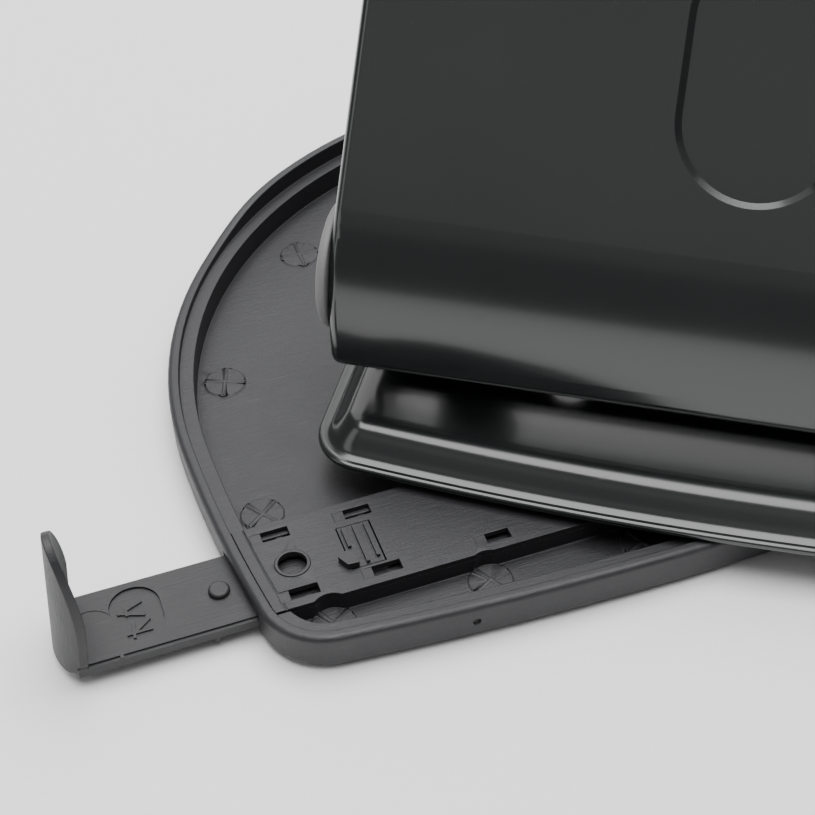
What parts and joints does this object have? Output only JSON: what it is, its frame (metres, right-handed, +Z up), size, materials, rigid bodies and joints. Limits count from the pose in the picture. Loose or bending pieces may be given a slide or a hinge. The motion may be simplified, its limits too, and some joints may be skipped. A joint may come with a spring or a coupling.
{
  "type": "hole punch",
  "caption": "Desk hole punch with a hinged steel handle on a pressed base that swivels open over a D-shaped confetti tray with a sliding paper guide.",
  "frame": {"origin": "under the middle of the tray, on the plane the tray stands on", "axes": "+X along the straight front of the tray towards its right-hand end, +Y towards the rounded back, +Z up"},
  "size_m": [0.1784, 0.1403, 0.0892],
  "materials": {
    "moulded_black": "injection moulded, fine matte, near black",
    "pad_rubber": "soft black rubber",
    "black_enamel": "glossy black stoved enamel on pressed steel",
    "zinc_plate": "bright zinc plated steel",
    "tool_steel": "ground hardened steel",
    "bush_brass": "turned brass",
    "spring_steel": "drawn spring wire",
    "cap_plastic": "grained dark grey plastic",
    "nylon": "natural nylon"
  },
  "bodies": {
    "tray": {"confetti_tray": "moulded_black", "guide_cover": "moulded_black", "guide_detent": "moulded_black", "rubber_feet": "pad_rubber"},
    "guide": {"paper_guide": "moulded_black"},
    "punch": {"base_shell": "black_enamel", "frame_rivets": "black_enamel", "swivel_stud": "zinc_plate", "swivel_clip": "spring_steel", "swivel_spacer": "nylon", "punch_frame": "black_enamel", "hinge_axle": "zinc_plate", "die_bush_left": "tool_steel", "die_bush_right": "tool_steel", "guide_bush_left": "bush_brass", "guide_bush_right": "bush_brass", "hinge_washer_left": "zinc_plate", "hinge_washer_right": "zinc_plate", "hinge_cap_left": "cap_plastic", "hinge_cap_right": "cap_plastic", "pin_spring_left": "spring_steel", "pin_spring_right": "spring_steel"},
    "handle": {"handle_shell": "black_enamel", "press_rod": "zinc_plate"},
    "left_pin": {"punch_pin_left": "tool_steel", "spring_cup_left": "cap_plastic"},
    "right_pin": {"punch_pin_right": "tool_steel", "spring_cup_right": "cap_plastic"}
  },
  "joints": [
    {"name": "tray_swivel", "type": "hinge", "parent": "tray", "child": "punch", "pos_m": [0, -0.0484, 0], "axis": [0, 0, 1], "range_deg": [-20, 33.4]},
    {"name": "guide_slide", "type": "slide", "parent": "tray", "child": "guide", "axis": [-1, 0, 0], "range_m": [-0.021, 0.058]},
    {"name": "handle_press", "type": "hinge", "parent": "punch", "child": "handle", "pos_m": [0.00556, -0.03997, 0.0314], "axis": [-0.8348, 0.5505, 0], "range_deg": [0, 27], "stiffness_Nm_per_rad": 0.6, "springref_deg": -22.92},
    {"name": "left_pin_travel", "type": "slide", "parent": "punch", "child": "left_pin", "axis": [0, 0, -1], "range_m": [0, 0.0061], "deforming": ["pin_spring_left"]},
    {"name": "right_pin_travel", "type": "slide", "parent": "punch", "child": "right_pin", "axis": [0, 0, -1], "range_m": [0, 0.0061], "deforming": ["pin_spring_right"]}
  ],
  "couplings": [
    {"joint": "left_pin_travel", "follows": "handle_press", "m_per_rad": 0.01269},
    {"joint": "right_pin_travel", "follows": "handle_press", "m_per_rad": 0.01269}
  ]
}
